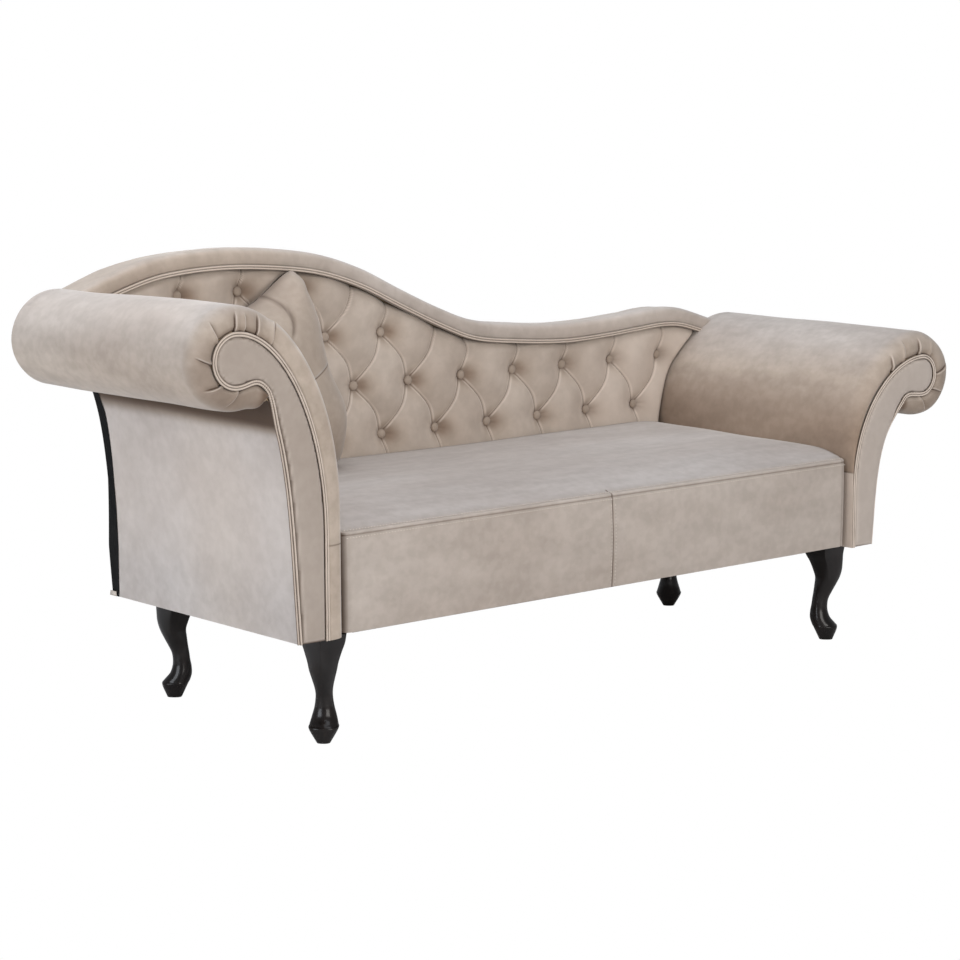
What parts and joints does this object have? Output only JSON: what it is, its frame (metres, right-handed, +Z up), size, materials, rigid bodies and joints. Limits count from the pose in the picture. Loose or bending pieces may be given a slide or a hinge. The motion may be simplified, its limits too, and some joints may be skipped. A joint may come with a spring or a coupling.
{
  "type": "fainting_couch",
  "caption": "Scroll-arm fainting couch in champagne velvet with a buttoned wave back, a high and a low arm, dark bent legs and a loose cushion",
  "frame": {"origin": "the floor under the middle of the couch's outer box", "axes": "X along the couch from the high arm to the low arm, Y from the front to the back, Z up"},
  "size_m": [2.0038, 0.6522, 0.8755],
  "materials": {
    "velvet": "cut velvet, champagne beige, with a directional nap",
    "velvet_trim": "double cord covered in the same velvet",
    "leg_wood": "near black stain under satin lacquer",
    "frame_wood": "bare sawn timber and board",
    "foam": "open-cell upholstery foam",
    "webbing": "woven elastic webbing",
    "lining": "black lining cloth with a slight sheen",
    "steel": "zinc-plated steel"
  },
  "bodies": {
    "couch": {"back_board": "frame_wood", "back_border": "velvet", "back_bottom_rail": "frame_wood", "back_buttoned_pad": "velvet", "back_inner_left_post": "frame_wood", "back_inner_right_post": "frame_wood", "back_left_post": "frame_wood", "back_lining": "lining", "back_middle_post": "frame_wood", "back_right_post": "frame_wood", "back_top_rail": "frame_wood", "back_welt": "velvet_trim", "front_left_corner_block": "frame_wood", "front_left_leg": "leg_wood", "front_left_leg_plate": "steel", "front_right_corner_block": "frame_wood", "front_right_leg": "leg_wood", "front_right_leg_plate": "steel", "left_arm_bolt_1": "steel", "left_arm_bolt_2": "steel", "left_arm_bottom_rail": "frame_wood", "left_arm_facing": "velvet", "left_arm_front_board": "frame_wood", "left_arm_outer_panel": "velvet", "left_arm_padding": "velvet", "left_arm_rear_board": "frame_wood", "left_arm_rear_facing": "velvet", "left_arm_roll_rail": "frame_wood", "left_arm_welt": "velvet_trim", "rear_left_corner_block": "frame_wood", "rear_left_leg": "leg_wood", "rear_left_leg_plate": "steel", "rear_right_corner_block": "frame_wood", "rear_right_leg": "leg_wood", "rear_right_leg_plate": "steel", "right_arm_bolt_1": "steel", "right_arm_bolt_2": "steel", "right_arm_bottom_rail": "frame_wood", "right_arm_facing": "velvet", "right_arm_front_board": "frame_wood", "right_arm_outer_panel": "velvet", "right_arm_padding": "velvet", "right_arm_rear_board": "frame_wood", "right_arm_rear_facing": "velvet", "right_arm_roll_rail": "frame_wood", "right_arm_welt": "velvet_trim", "seat_centre_rail": "frame_wood", "seat_cover": "velvet", "seat_dust_cover": "lining", "seat_foam": "foam", "seat_front_rail": "frame_wood", "seat_left_rail": "frame_wood", "seat_rear_rail": "frame_wood", "seat_right_rail": "frame_wood", "seat_webbing": "webbing"},
    "cushion": {"scatter_cushion": "velvet"}
  },
  "joints": [
    {"name": "cushion_lift", "type": "slide", "parent": "couch", "child": "cushion", "axis": [0, 0, 1], "range_m": [0, 0.6]}
  ]
}
